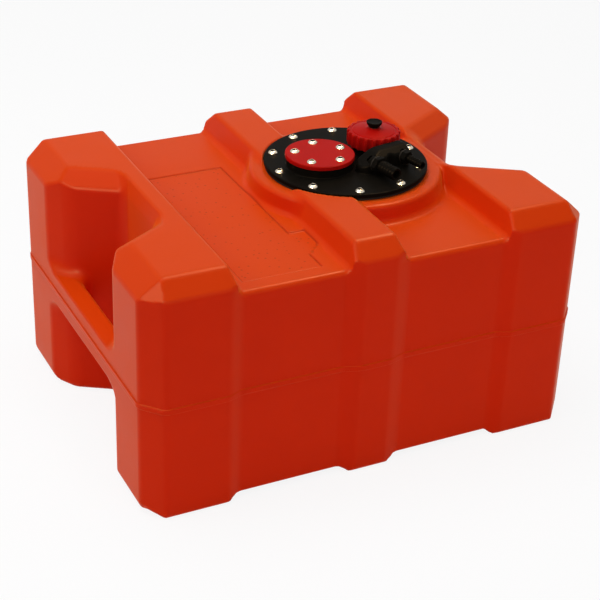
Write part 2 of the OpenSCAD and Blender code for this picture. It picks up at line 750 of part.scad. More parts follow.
module vent_valve_cage() color(cover_black) at_vent() difference() {
    translate([0, 0, cage_z]) cylinder(r = ball_r + ball_gap + cage_wall, h = cage_l + tube_grip);
    translate([0, 0, cage_z - over]) cylinder(r = ball_r + ball_gap, h = cage_l + over);
    translate([0, 0, cage_z]) cylinder(r = seat_r + stub_wall + thread_gap, h = cage_l + 2 * tube_grip);
    for (i = [0 : window_count - 1]) rotate(i * 360 / window_count)
        translate([0, -window_w / 2, cage_z + 2 * cage_floor_t])
            cube([2 * ball_r, window_w, cage_l - 4 * cage_floor_t]);
}

module vent_valve_floor() color(cover_black) at_vent()
    ring(ball_r + ball_gap - thread_gap, seat_r, cage_z, cage_floor_t);

module vent_valve_ball() color(strainer_white) at_vent() translate([0, 0, ball_z]) sphere(r = ball_r);

tank_body();
flange_inserts();
flange_gasket();
flange_plate();
flange_screws();
sender_inserts();
sender_gasket();
sender_plate();
sender_screws();
cap_shell();
cap_gasket();
vent_knob();
vent_seal();
vent_retainer();
vent_tail();
vent_tail_washer();
outlet_tail();
outlet_tail_washer();
pickup_tube();
pickup_strainer();
pickup_end_cap();
vent_valve_cage();
vent_valve_floor();
vent_valve_ball();
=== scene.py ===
# %% [markdown]
# # An inboard fuel tank
# The object is a red moulded fuel tank for a small boat. A black cover plate on its top carries the
# filler cap, a blanked gauge port and two hose tails. The imported model gives every piece its place and
# its size, so this lesson only dresses that frame: softer shapes where the solids are plain, and finishes.

# %% Load the frame
import bpy
import bmesh
import numpy as np
from mathutils import Matrix


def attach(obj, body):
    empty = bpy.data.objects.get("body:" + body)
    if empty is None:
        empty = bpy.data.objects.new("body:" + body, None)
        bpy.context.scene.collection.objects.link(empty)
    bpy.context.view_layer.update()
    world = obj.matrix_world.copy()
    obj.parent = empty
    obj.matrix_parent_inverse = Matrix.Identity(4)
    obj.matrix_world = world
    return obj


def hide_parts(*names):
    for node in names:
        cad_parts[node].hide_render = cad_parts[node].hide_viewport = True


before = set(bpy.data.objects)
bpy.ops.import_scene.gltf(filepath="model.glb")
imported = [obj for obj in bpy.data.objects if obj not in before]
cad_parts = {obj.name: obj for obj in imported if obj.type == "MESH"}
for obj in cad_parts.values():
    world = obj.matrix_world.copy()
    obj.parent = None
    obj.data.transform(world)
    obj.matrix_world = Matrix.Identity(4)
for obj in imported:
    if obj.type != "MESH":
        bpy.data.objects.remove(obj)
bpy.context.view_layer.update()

MM = 0.001
scene = bpy.context.scene
scene.view_settings.view_transform = "Standard"

# %% [markdown]
# ## The camera
# The photograph was taken from the left front, a little above the tank, with a long lens. The place of
# the camera was worked out from the tank's outline and its screws, so it is written as a point and two
# directions. A matrix whose columns are right, up and backwards puts a Blender camera there with no
# guessing of angles, and the same function aims the lamps later.

# %% Camera
PHOTO_PX = 600
FOCAL_PX = 1593.68
SENSOR_MM = 36.0
EYE_MM = np.array([-703.80, -1391.22, 977.29])
LOOK = np.array([0.39769, 0.77670, -0.48845])
UP_HINT = np.array([0.18643, 0.45284, 0.87188])


def unit(v):
    """A vector divided by its own length."""
    return v / np.linalg.norm(v)


def placed(place, back, up_hint):
    """Matrix of an object at a place in metres, whose back is turned to the direction back."""
    right = unit(np.cross(up_hint, back))
    axes = np.eye(4)
    axes[:3, :3] = np.column_stack([right, np.cross(back, right), back])
    axes[:3, 3] = place
    return Matrix(axes.tolist())


camera_data = bpy.data.cameras.new("photo_camera")
camera_data.sensor_fit = "HORIZONTAL"
camera_data.sensor_width = SENSOR_MM
camera_data.lens = FOCAL_PX / PHOTO_PX * SENSOR_MM
camera_data.clip_end = 20.0
camera = bpy.data.objects.new("photo_camera", camera_data)
scene.collection.objects.link(camera)
camera.matrix_world = placed(EYE_MM * MM, -unit(LOOK), UP_HINT)
scene.camera = camera
print("camera lens:", round(camera_data.lens, 2), "mm")

# %% [markdown]
# ## Nodes and colours
# Every finish below is a small tree of shader nodes. One function adds a node: its own settings, and its
# sockets, each of which takes a number, a colour or the output of another node. Colours are written as the
# hex values that a picture shows, and Blender works in linear light, so a second function converts them.


# %% Node helper
def add(tree, kind, settings=None, **sockets):
    """Adds one node. Settings are its properties. A socket is named with _ for each space, or with in and
    its number, and it takes a constant or the output socket of another node."""
    made = tree.nodes.new("ShaderNode" + kind)
    for name, value in (settings or {}).items():
        setattr(made, name, value)
    for name, value in sockets.items():
        socket = made.inputs[int(name[2:]) if name.startswith("in") else name.replace("_", " ")]
        if isinstance(value, bpy.types.NodeSocket):
            tree.links.new(value, socket)
        else:
            socket.default_value = value
    return made


def linear(hex_colour):
    """sRGB hex to linear: (c + 0.055) / 1.055 to the power 2.4, or c / 12.92 near black."""
    c = np.array([int(hex_colour[i:i + 2], 16) for i in (1, 3, 5)]) / 255
    return (*np.where(c > 0.04045, ((c + 0.055) / 1.055) ** 2.4, c / 12.92).tolist(), 1.0)


def new_material(name):
    """A material with an empty node tree, returned with that tree."""
    material = bpy.data.materials.new(name)
    material.use_nodes = True
    material.node_tree.nodes.clear()
    return material, material.node_tree


print("orange as linear light:", [round(v, 3) for v in linear("#d2481c")[:3]])

# %% [markdown]
# ## Floor and surround
# The tank stands on a white studio sweep that runs out of the picture, so the floor has no edge and no
# tone except a faint shadow. The floor is lit as a pale surface, and the camera and reflections see it
# mixed with plain white, which keeps the shadow. The world around is treated in the same way: it shines
# softly on the tank, and it looks plain white.

# %% Floor and surround
FLOOR_M = 4.0
WHITE_SHARE = 0.88
SURROUND = 0.42


def seen_directly(tree):
    """1 for rays from the camera, a reflection or glass, and 0 for the rays that carry light."""
    path = add(tree, "LightPath")
    shown = add(tree, "Math", {"operation": "MAXIMUM"}, in0=path.outputs["Is Camera Ray"],
                in1=path.outputs["Is Glossy Ray"])
    return add(tree, "Math", {"operation": "MAXIMUM"}, in0=shown.outputs[0],
               in1=path.outputs["Is Transmission Ray"]).outputs[0]


floor_mesh = bpy.data.meshes.new("floor")
corners = [(-FLOOR_M, -FLOOR_M, 0), (FLOOR_M, -FLOOR_M, 0), (FLOOR_M, FLOOR_M, 0), (-FLOOR_M, FLOOR_M, 0)]
floor_mesh.from_pydata(corners, [], [(0, 1, 2, 3)])
floor = bpy.data.objects.new("floor", floor_mesh)
scene.collection.objects.link(floor)
floor_white, tree = new_material("painted_floor_white")
paint = add(tree, "BsdfDiffuse", Color=linear("#f2f2f2"))
plain = add(tree, "Emission", Color=(1, 1, 1, 1), Strength=1.0)
share = add(tree, "Math", {"operation": "MULTIPLY"}, in0=seen_directly(tree), in1=WHITE_SHARE)
both = add(tree, "MixShader", in0=share.outputs[0], in1=paint.outputs[0], in2=plain.outputs[0])
add(tree, "OutputMaterial", Surface=both.outputs[0])
floor_mesh.materials.append(floor_white)

world = bpy.data.worlds.new("white_surround")
world.use_nodes = True
tree = world.node_tree
tree.nodes.clear()
strength = add(tree, "MapRange", in0=seen_directly(tree), To_Min=SURROUND, To_Max=1.0)
sky = add(tree, "Background", Color=(1, 1, 1, 1), Strength=strength.outputs[0])
add(tree, "OutputWorld", Surface=sky.outputs[0])
scene.world = world
print("floor of", 2 * FLOOR_M, "m in a surround of strength", SURROUND)

# %% [markdown]
# ## Lamps
# The light is a large soft box overhead, with weaker ones from the left and the front, the way small goods
# are usually photographed. Four small warm lamps are only reflected and light nothing else: they draw the
# bright lines along the rounded edges and the bright facet at the near corner.

# %% Lamps
AIM_M = np.array([0.0, 0.0, 0.15])
LAMP_UP = np.array([0.0, 1.0, 0.3])
WHITE, WARM = (1, 1, 1), linear("#ffcf94")[:3]
# Name, place and width in metres, watts, and whether the lamp lights surfaces or is only reflected
LAMPS = (("softbox_top", (-0.35, 0.15, 1.9), 1.7, 19.0, True),
         ("softbox_left", (-1.75, 0.25, 1.5), 0.8, 6.0, True),
         ("softbox_front", (0.6, -2.2, 1.1), 1.2, 5.0, True),
         ("back_reflection", (0.75, 0.38, 1.9), 0.5, 85.0, False),
         ("lens_reflection", (-0.5, -2.0, 1.4), 0.35, 36.0, False),
         ("left_reflection", (-1.69, -0.37, 1.47), 0.3, 60.0, False),
         ("low_reflection", (-1.58, -1.35, 1.2), 0.3, 130.0, False))
for lamp_name, place, width, watts, lights in LAMPS:
    lamp_data = bpy.data.lights.new(lamp_name, "AREA")
    lamp_data.shape = "DISK"
    lamp_data.size = width
    lamp_data.energy = watts
    lamp_data.color = WHITE if lights else WARM
    lamp = bpy.data.objects.new(lamp_name, lamp_data)
    lamp.visible_diffuse = lights
    scene.collection.objects.link(lamp)
    lamp.matrix_world = placed(place, unit(np.array(place) - AIM_M), LAMP_UP)

# %% [markdown]
# ## Moulded plastics
# The tank is polyethylene, moulded in one piece: dyed right through, satin, with a very fine orange-peel
# from the mould and slow changes of tone where the melt flowed. The cover and hose tails are black
# glass-filled nylon, tighter and a little glossier. The cap and the gauge plate are red acetal, smoother
# still. One function makes all of them from two tones, a patch size, a grain and a roughness.


# %% Plastics
def moulded_plastic(name, tones, patch_mm, grain_mm, grain_depth_mm, roughness, ior, specular, bloom=0.0,
                    bloom_tone="#ffffff", painted_top_light=None, pit_shade_mm=None):
    """Base colour between two tones by a slow noise, roughness that wanders with it, and a fine bump. A noise
    scale is one over the real size in metres. A lighter top tone takes over where a face looks upwards, as
    painted light from above; a bloom is a waxy haze that shows at a slant; and inside the marked pad, small
    dark specks and a darker groove line are painted shade, for each small pit and for the groove."""
    material, tree = new_material(name)
    coordinates = add(tree, "TexCoord")
    place = coordinates.outputs["Object"]
    patch = add(tree, "TexNoise", Vector=place, Scale=1 / (patch_mm * MM), Detail=3.0, Roughness=0.55)
    colour = add(tree, "Mix", {"data_type": "RGBA"}, in0=patch.outputs["Fac"], in6=linear(tones[1]),
                 in7=linear(tones[0])).outputs[2]
    # Painted light: faces that look upwards turn to a lighter tone, which stands in for the light from above.
    if painted_top_light:
        facing = add(tree, "SeparateXYZ", in0=coordinates.outputs["Normal"])
        upward = add(tree, "MapRange", {"interpolation_type": "SMOOTHSTEP"}, in0=facing.outputs["Z"])
        colour = add(tree, "Mix", {"data_type": "RGBA"}, in0=upward.outputs[0], in6=colour,
                     in7=linear(painted_top_light)).outputs[2]
    # Painted shade: dark specks stand for the shade in each small pit inside the pad, and the groove's mark
    # darkens the line of the groove as its shade.
    if pit_shade_mm:
        cells = add(tree, "TexVoronoi", Vector=place, Scale=1 / (pit_shade_mm * MM))
        pit_shade = add(tree, "MapRange", in0=cells.outputs["Distance"], From_Min=0.1, From_Max=0.2,
                   To_Min=0.6, To_Max=0.0)
        inside = add(tree, "Attribute", {"attribute_name": "pad_area"})
        shown = add(tree, "Math", {"operation": "MULTIPLY"}, in0=pit_shade.outputs[0], in1=inside.outputs["Fac"])
        line = add(tree, "Attribute", {"attribute_name": "pad_line"})
        painted_shade = add(tree, "Math", {"operation": "MAXIMUM"}, in0=shown.outputs[0], in1=line.outputs["Fac"])
        colour = add(tree, "Mix", {"data_type": "RGBA"}, in0=painted_shade.outputs[0], in6=colour,
                     in7=linear("#8a1800")).outputs[2]
    rough = add(tree, "MapRange", in0=patch.outputs["Fac"], From_Min=0.3, From_Max=0.7,
                To_Min=roughness - 0.04, To_Max=roughness + 0.05)
    grain = add(tree, "TexNoise", Vector=place, Scale=1 / (grain_mm * MM), Detail=2.0, Roughness=0.5)
    bump = add(tree, "Bump", Strength=0.35, Distance=grain_depth_mm * MM, Height=grain.outputs["Fac"])
    shader = add(tree, "BsdfPrincipled", Base_Color=colour, Roughness=rough.outputs[0], IOR=ior,
                 Specular_IOR_Level=specular, Sheen_Weight=bloom, Sheen_Roughness=0.5,
                 Sheen_Tint=linear(bloom_tone), Normal=bump.outputs[0])
    add(tree, "OutputMaterial", Surface=shader.outputs[0])
    return material


# Dyed polyethylene straight from the mould: a satin skin with a soft, broad highlight and a waxy bloom
# Upward faces take the lighter top tone as painted light, and the pad takes painted shade in each small pit and
# in its groove.
tank_polyethylene = moulded_plastic(
    "tank_polyethylene_moulded", ("#d72200", "#cf1d00"), patch_mm=70, grain_mm=1.6, grain_depth_mm=0.12,
    roughness=0.38, ior=1.51, specular=0.045, bloom=0.28, bloom_tone="#ffb23c", painted_top_light="#cf3600", pit_shade_mm=7)
# Black glass-filled nylon: fine grain, a tighter highlight than the tank
cover_nylon = moulded_plastic(
    "cover_nylon_glass_filled", ("#14110d", "#0e0c09"), patch_mm=12, grain_mm=0.9, grain_depth_mm=0.06,
    roughness=0.36, ior=1.53, specular=0.007)
# Red acetal: smooth and rather glossy
fitting_acetal = moulded_plastic(
    "fitting_acetal_red", ("#b2110b", "#a40c08"), patch_mm=15, grain_mm=1.1, grain_depth_mm=0.05,
    roughness=0.34, ior=1.48, specular=0.018)
# Natural nylon of the strainer and the valve ball: milky and smooth
strainer_nylon = moulded_plastic(
    "strainer_nylon_natural", ("#dddbd0", "#d2cfc2"), patch_mm=9, grain_mm=0.8, grain_depth_mm=0.04,
    roughness=0.4, ior=1.53, specular=0.5)
# Nitrile rubber of the gaskets: black, dull, with a talc-like grain
gasket_nitrile = moulded_plastic(
    "gasket_nitrile_rubber", ("#1b1b1b", "#121212"), patch_mm=6, grain_mm=0.7, grain_depth_mm=0.08,
    roughness=0.72, ior=1.52, specular=0.1)
print("plastics:", tank_polyethylene.name, cover_nylon.name, fitting_acetal.name)

# %% [markdown]
# ## Metals
# The screws are stainless steel, turned and tumbled, so they mirror the white studio with fine scratches.
# The threaded inserts are turned brass and the suction pipe is drawn aluminium. A metal takes its colour
# from its reflection, so the scratch noise goes into roughness and bump, and only a little into the tone.
# Where a piece marks a socket, the metal is painted dark, as painted shade inside the socket.


# %% Metals
def turned_metal(name, tone, dark_tone, scratch_mm, along_mm, roughness):
    """Metallic shader whose noise has its own size along Z, so that tool marks can run one way."""
    material, tree = new_material(name)
    place = add(tree, "TexCoord").outputs["Object"]
    stretch = add(tree, "Mapping", Vector=place, Scale=(1 / (scratch_mm * MM), 1 / (scratch_mm * MM),
                                                       1 / (along_mm * MM)))
    marks = add(tree, "TexNoise", Vector=stretch.outputs[0], Scale=1.0, Detail=3.0)
    colour = add(tree, "Mix", {"data_type": "RGBA"}, in0=marks.outputs["Fac"], in6=linear(dark_tone),
                 in7=linear(tone))
    # Painted shade: the marked rows of a socket are painted near black, for the shade inside the socket.
    socket = add(tree, "Attribute", {"attribute_name": "socket"})
    colour = add(tree, "Mix", {"data_type": "RGBA"}, in0=socket.outputs["Fac"], in6=colour.outputs[2],
                 in7=linear("#191715"))
    rough = add(tree, "MapRange", in0=marks.outputs["Fac"], To_Min=roughness - 0.06, To_Max=roughness + 0.08)
    bump = add(tree, "Bump", Strength=0.2, Distance=0.02 * MM, Height=marks.outputs["Fac"])
    shader = add(tree, "BsdfPrincipled", Base_Color=colour.outputs[2], Roughness=rough.outputs[0],
                 Metallic=1.0, Normal=bump.outputs[0])
    add(tree, "OutputMaterial", Surface=shader.outputs[0])
    return material


# Tumbled stainless steel: pale and bright, with small dull patches
screw_stainless = turned_metal("screw_stainless_tumbled", "#cbc6b8", "#a29c8e",
                               scratch_mm=1.2, along_mm=1.2, roughness=0.24)
# Turned brass: yellow, with rings of tool marks
insert_brass = turned_metal("insert_brass_turned", "#c9a24a", "#a98233",
                            scratch_mm=2.0, along_mm=0.5, roughness=0.3)
# Drawn aluminium tube: grey, with long draw lines
pipe_aluminium = turned_metal("pipe_aluminium_drawn", "#c3c6c8", "#a9adb0",
                              scratch_mm=0.8, along_mm=30.0, roughness=0.34)

FINISH = {"tank_plastic": tank_polyethylene, "cover_plastic": cover_nylon, "fitting_red": fitting_acetal,
          "stainless": screw_stainless, "brass": insert_brass, "rubber": gasket_nitrile,
          "aluminium": pipe_aluminium, "strainer_plastic": strainer_nylon}
print("finishes for", sorted(FINISH))

# %% [markdown]
# ## Solids as distance functions
# The tank has broad flat faces and soft edges everywhere, inside corners as well as outside ones. A
# polygon cage with bevels would struggle where bands, bays, posts and handles run into each other. A
# distance function is simpler: it tells how far a point is from the surface, negative inside. A plane is
# one line of arithmetic, and two solids are joined or overlapped with an edge rounded to a chosen radius.


# %% Rounded joins
def round_and(a, b, r):
    """Overlap of two solids, the shared edge rounded: where both distances are above -r, the surface
    follows hypot(a + r, b + r) = r."""
    return np.minimum(np.maximum(a, b), -r) + np.hypot(np.maximum(a + r, 0), np.maximum(b + r, 0))


def round_or(a, b, r):
    """Join of two solids, the inside corner filled to radius r: the overlap of their outsides, reversed."""
    return -round_and(-a, -b, r)


def gradient(distance, points, h=0.05):
    """Slope of a distance function at points, by central differences along the three axes."""
    steps = h * np.eye(3)[:, :, None]
    return np.stack([(distance(points + s) - distance(points - s)) / (2 * h) for s in steps])


def settle(distance, points, rounds=3, reach=2.5):
    """Moves points on to the surface: p - d * g / |g|^2, no further than reach in one round."""
    for _ in range(rounds):
        slope = gradient(distance, points)
        step = distance(points) * slope / np.maximum((slope ** 2).sum(0), 1e-6)
        points = points - step * np.minimum(1, reach / np.maximum(np.linalg.norm(step, axis=0), 1e-9))
    return points


print("a point 4 inside two planes, edge radius 8:", round(float(round_and(-4, -4, 8)), 3))

# %% [markdown]
# ## From distance to cells
# A grid of points is laid through the solid, its lines close together where there are edges and wide apart
# on flats. Where the distance changes sign between two points, the surface crosses that grid edge, and the
# crossing is placed by straight interpolation. Each cell sums up the crossings on its edges, because their
# mean will be its vertex.


# %% Crossed cells
def ticks(*runs):
    """Grid lines from runs of (start, end, step), each run split evenly."""
    parts = [np.linspace(a, b, max(int(round((b - a) / s)), 1), endpoint=False) for a, b, s in runs]
    return np.concatenate(parts + [[runs[-1][1]]])


def crossed_cells(d, grid):
    """For each cell: the sum of the points where the surface crosses its edges, and their number."""
    cells = tuple(n - 1 for n in d.shape)
    total, count = np.zeros((3, *cells)), np.zeros(cells, int)
    for axis in range(3):
        near = tuple(slice(0, -1) if a == axis else slice(None) for a in range(3))
        far = tuple(slice(1, None) if a == axis else slice(None) for a in range(3))
        crossed = (d[near] < 0) != (d[far] < 0)
        share = np.where(crossed, d[near] / np.where(crossed, d[near] - d[far], 1), 0)
        point = (grid[(slice(None), *near)] * (1 - share) + grid[(slice(None), *far)] * share) * crossed
        for shift in range(4):
            bits = iter((shift & 1, shift >> 1))
            part = tuple(slice(None) if a == axis else slice(b := next(bits), cells[a] + b) for a in range(3))
            total += point[(slice(None), *part)]
            count += crossed[part]
    return total, count


print("grid lines of a test run:", ticks((0, 10, 5), (10, 12, 1)).round(2).tolist())

# %% [markdown]
# ## From cells to skin
# Each crossed grid edge gets one quad between its four cells, turned to face outwards. The vertices are
# then evened out and settled on the surface. Later they keep the slope of the distance as their normal, so
# that shading is smooth across coarse cells.

# %% Skin of a distance function
EVEN_SHARE = 0.3


def crossed_quads(inside, index):
    """One quad round each crossed grid line, turned to face away from the inside."""
    quads = []
    for axis in range(3):
        u, v = (axis + 1) % 3, (axis + 2) % 3
        low = np.moveaxis(inside, (axis, u, v), (0, 1, 2))
        cell = np.moveaxis(index, (axis, u, v), (0, 1, 2))
        inner = low[:, 1:-1, 1:-1]
        crossed = inner[:-1] != inner[1:]
        ring = np.stack([cell[:, :-1, :-1][crossed], cell[:, 1:, :-1][crossed],
                         cell[:, 1:, 1:][crossed], cell[:, :-1, 1:][crossed]], axis=1)
        leaving = inner[:-1][crossed]
        quads += [ring[leaving], ring[~leaving][:, ::-1]]
    return np.concatenate(quads)


def evened(points, quads):
    """Each vertex at the mean of its neighbours along the quads' sides."""
    a, b = quads.ravel(), np.roll(quads, -1, axis=1).ravel()
    number = np.bincount(a, minlength=points.shape[1])
    return np.stack([np.bincount(a, c[b], points.shape[1]) for c in points]) / np.maximum(number, 1)


def skin(distance, lines):
    """Vertices and quads of the surface where the distance is 0, on the given grid lines."""
    grid = np.stack(np.meshgrid(*lines, indexing="ij"))
    d = distance(grid)
    total, count = crossed_cells(d, grid)
    used = count > 0
    index = np.where(used, np.cumsum(used).reshape(used.shape) - 1, -1)
    quads = crossed_quads(d < 0, index)
    points = settle(distance, total[:, used] / count[used])
    mixed = (1 - EVEN_SHARE) * points + EVEN_SHARE * evened(points, quads)
    return settle(distance, mixed, 2), quads


ball_points, ball_quads = skin(lambda p: np.linalg.norm(p, axis=0) - 10, [ticks((-12, 12, 2.5))] * 3)
print("ball of radius 10:", ball_points.shape[1], "vertices,", len(ball_quads), "quads")

# %% [markdown]
# ## The tank: posts, notches and handles
# Each end of the tank has a notch between two posts, and a carrying handle crosses its mouth. The notch
# walls open outwards, and the mouth corners and the tops of the posts are bevelled towards the notch. The
# left back wall has a narrow sill; the right one is lowered to a saddle, level with the boss under the
# cover. The handle flows into the posts with a generous fillet, because a sharp corner there would tear
# when a full tank is lifted. Sizes are in millimetres, and both halves share these lines through the
# absolute values of x and y.

# %% Ends of the tank
END_X, SIDE_Y, TOP_Z = 250, 192, 266
NOTCH_X, NOTCH_Y, FLARE = 181, 43.6, 0.6
MOUTH_X, MOUTH_Y, MOUTH_SLOPE, MOUTH_R = 234, 75.4, 1.75, 5
SADDLE_X, SADDLE_Z, SADDLE_R = 154, 260, 4
BAR_X, BAR_Z, BAR_HALF, BAR_R = 225, 128, 18, 9
# A bevel is a point on its plane and the direction that it faces
POST_BEVEL, POST_R = (251, 0, 19, -15), 3
RIGHT_LIP, LEFT_LIP, LIP_R = (165, SADDLE_Z, 22, 16), (177, TOP_Z, 15, 4), 1.5
POST_FILLET, BAR_FILLET = 9, 15


def slant(u, v, u0, v0, a, b):
    """Distance from the plane through (u0, v0) whose outward direction is (a, b)."""
    return ((u - u0) * a + (v - v0) * b) / np.hypot(a, b)


def ends(right_end, x, y, z):
    """Body back to its bevelled notch wall, joined to the bevelled posts, joined to the bar."""
    into_post = slant(y, x, NOTCH_Y, NOTCH_X, 1, -FLARE)
    posts = round_and(-into_post, -slant(y, x, MOUTH_Y, MOUTH_X, 1, -MOUTH_SLOPE), MOUTH_R)
    posts = round_and(posts, slant(z, into_post, *POST_BEVEL), POST_R)
    lip = np.where(right_end, slant(x, z, *RIGHT_LIP), slant(x, z, *LEFT_LIP))
    body = round_and(x - NOTCH_X, lip, LIP_R)
    saddle = round_or(x - SADDLE_X, z - SADDLE_Z, SADDLE_R)
    body = np.where(right_end, round_and(body, saddle, SADDLE_R), body)
    bar = round_and(np.abs(z - BAR_Z) - BAR_HALF, BAR_X - x, BAR_R)
    return round_or(round_or(body, posts, POST_FILLET), bar, BAR_FILLET)


print("handles:", END_X - BAR_X, "mm thick and", 2 * BAR_HALF, "mm high")

# %% [markdown]
# ## The tank: outer faces and bevels
# The outside is cut by flat faces: the ends, the long walls, upright corner bevels, top bevels, and a small
# tilted facet where three of them meet. Edges between two of them are crisp, as they are where a mould was
# milled flat by flat, and only the bottom edge is round: widely at the ends, less along the sides, and from
# one to the other across the corner bevels.

# %% Outer faces
CORNER_BEVEL = (230, SIDE_Y, 22, 20)
END_BEVEL, SIDE_BEVEL = (227, TOP_Z, 21, 23), (173.5, TOP_Z, 17.5, 18.5)
FACET_AT, FACET_OUT = (227, 173.5, TOP_Z), 0.2
FACET_TILT = unit(np.cross([23, -3.5, -21], [3, 18.5, -17.5]))
NOTCH_LOW_R, END_LOW_R, SIDE_LOW_R = 7, 13, 5
CORNER_LOW_R, CORNER_MORE_R, CORNER_WIDTH = 2, 12, 20
SHARP_Z, SHARP_FADE = 2, 10


def ease(t):
    """0 below 0, 1 above 1 and 3t^2 - 2t^3 between."""
    t = np.clip(t, 0, 1)
    return t * t * (3 - 2 * t)


def faces(d, x, y, z):
    """The solid overlapped with each outer plane in turn, with the edge's radius. The upright edges turn sharp
    in the last few millimetres, because rounded overlaps of solids that share the floor plane would lift it."""
    d = round_and(d, -z, NOTCH_LOW_R)
    corner_r = CORNER_LOW_R + CORNER_MORE_R * np.clip((SIDE_Y - y) / CORNER_WIDTH, 0, 1)
    facet = sum((c - at) * tilt for c, at, tilt in zip((x, y, z), FACET_AT, FACET_TILT))
    planes = ((round_and(x - END_X, -z, END_LOW_R), 2),
              (round_and(slant(x, y, *CORNER_BEVEL), -z, corner_r), 2.5),
              (round_and(y - SIDE_Y, -z, SIDE_LOW_R), 3),
              (slant(x, z, *END_BEVEL), 2.5),
              (slant(y, z, *SIDE_BEVEL), 2.5),
              (facet - FACET_OUT, 0.4),
              (z - TOP_Z, 2.5))
    for plane, edge_r in planes:
        d = round_and(d, plane, edge_r * ease((z - SHARP_Z) / SHARP_FADE))
    return d


print("corner facets face", FACET_TILT.round(3).tolist())

# %% [markdown]
# ## The tank: bands, panels and boss
# Three raised bands run over the top and down the long walls, and their ends are the feet. Between them lie
# two sunken panels. The sides of the bands lean, so that the tank comes out of its mould: the lean is so many
# millimetres for each one of height over the panel, or out of the bay. On the right panel stands a round
# boss with a shallow pocket for the cover and the opening through it.

# %% Bands and boss
PANEL_Z, BAY_Y, BAY_R = 240, 186, 6
MID_X, MID_LEAN, BAND_X, BAND_LEAN, BAND_R = 32, (0.32, 1.9), 151, (0.25, 1.333), 4
BOSS_X, BOSS_R, BOSS_Z, BOSS_LOW_Z, BOSS_LEAN = 57, 104, 260, 230, 0.19
POCKET_R, POCKET_EDGE_R, WELL_R, WELL_Z, WELL_EDGE_R, SEAT_R = 89.8, 2.5, 73, 232, 1.5, 1
FOOT_Z, FOOT_R, MID_FOOT_X, MID_FOOT_RUN = 6.5, 3, 20, 14
RIGHT_FOOT_X, LEFT_FOOT_X, END_FOOT_RUN = 157, 163, 12


def bays(d, x_signed, x, y, z):
    """Cuts the two bays between the bands, leaves the boss standing on its slope, and lifts the underside
    between the feet."""
    rise, outward = np.maximum(z - PANEL_Z, 0), np.maximum(y - BAY_Y, 0)
    middle = MID_X - np.maximum(MID_LEAN[0] * rise, MID_LEAN[1] * outward)
    band = x - BAND_X - np.maximum(BAND_LEAN[0] * rise, BAND_LEAN[1] * outward)
    kept = round_or(-np.maximum(middle - x, band), round_and(z - PANEL_Z, y - BAY_Y, BAY_R), BAY_R)
    out = np.hypot(x_signed - BOSS_X, y)
    boss = slant(out, np.maximum(z, BOSS_LOW_Z), BOSS_R, BOSS_Z, 1, BOSS_LEAN)
    boss = round_and(boss, z - BOSS_Z, BAND_R)
    d = round_and(d, round_or(kept, boss, BAY_R), BAND_R)
    end_foot = np.where(x_signed > 0, RIGHT_FOOT_X, LEFT_FOOT_X)
    relief = FOOT_Z * ease((x - MID_FOOT_X) / MID_FOOT_RUN) * ease((end_foot - x) / END_FOOT_RUN)
    return round_and(d, relief - z, np.minimum(relief, FOOT_R))


def opening(d, x_signed, y, z):
    """Pocket for the cover and the well through the boss, each with a fillet at its bottom."""
    out = np.hypot(x_signed - BOSS_X, y)
    d = round_and(d, round_or(POCKET_R - out, z - BOSS_Z, SEAT_R), POCKET_EDGE_R)
    return round_and(d, round_or(WELL_R - out, z - WELL_Z, SEAT_R), WELL_EDGE_R)


print("bands stand", TOP_Z - PANEL_Z, "mm over the panels, the boss", BOSS_Z - PANEL_Z, "mm")

# %% [markdown]
# ## The tank: pad and bead
# The left panel has a sunken pad with a fine groove round its outline. A bead along the mould's parting
# line goes round the outside of the tank. Both are small steps, so they are simply added to the distance.

# %% Pad and bead
PAD_SHEET, PAD_TAB, TAB_CUT = (-139, -53, -165, 86), (-60, -35, -138, -88), (-35, -120, 1, -1)
PAD_DEPTH, PAD_EDGE, PAD_LOW_Z, PAD_FADE = 1.0, 1.6, 232, 4
GROOVE_DEPTH, GROOVE_WIDTH = 0.7, 0.8
BEAD_OUT, BEAD_HALF, BEAD_EDGE, BEAD_STOP_X, BEAD_FADE = 1.2, 3.0, 0.6, 170, 4


def rectangle(x, y, x0, x1, y0, y1):
    """Distance from a rectangle's outline, negative inside."""
    return np.maximum.reduce([x0 - x, x - x1, y0 - y, y - y1])


def pad_outline(x, y):
    """Distance s from the outline of the pad on the left panel, negative inside: a sheet with a tab."""
    tab = np.maximum(rectangle(x, y, *PAD_TAB), slant(x, y, *TAB_CUT))
    return np.minimum(rectangle(x, y, *PAD_SHEET), tab)


def groove(s):
    """Shape of a fine groove across the outline: exp(-(s / width)^2)."""
    return np.exp(-(s / GROOVE_WIDTH) ** 2)


def pad(s, z):
    """Depth of the pad and of its groove, on the panel only."""
    depth = PAD_DEPTH * ease(0.5 - s / PAD_EDGE) + GROOVE_DEPTH * groove(s)
    return depth * ease((z - PAD_LOW_Z) / PAD_FADE)


def bead(x, y, z):
    """Height of the bead by the distance from the parting line, and none inside the notches."""
    in_mouth = ease((MOUTH_Y + BEAD_FADE - y) / BEAD_FADE) * ease((BAR_X + BEAD_FADE - x) / BEAD_FADE)
    in_notch = in_mouth * ease((x - BEAD_STOP_X) / BEAD_FADE)
    return BEAD_OUT * (1 - in_notch) * ease((BEAD_HALF + BEAD_EDGE / 2 - np.abs(z - BAR_Z)) / BEAD_EDGE)


print("bead:", BEAD_OUT, "mm high at z", BAR_Z, "mm")

# %% [markdown]
# ## The tank: one skin
# All of this is now one distance function of a point. The grid is close at the pad's outline, the bead and
# the bevels, and wide on the plain walls, so the skin stays under two hundred thousand triangles.


# %% Skin of the tank
def tank_outside(points):
    """The whole outside of the tank as one distance."""
    x_signed, y, z = points[0], np.abs(points[1]), points[2]
    x = np.abs(x_signed)
    d = faces(ends(x_signed > 0, x, y, z), x, y, z)
    d = bays(d, x_signed, x, y, z) - bead(x, y, z) + pad(pad_outline(x_signed, points[1]), z)
    return opening(d, x_signed, y, z)


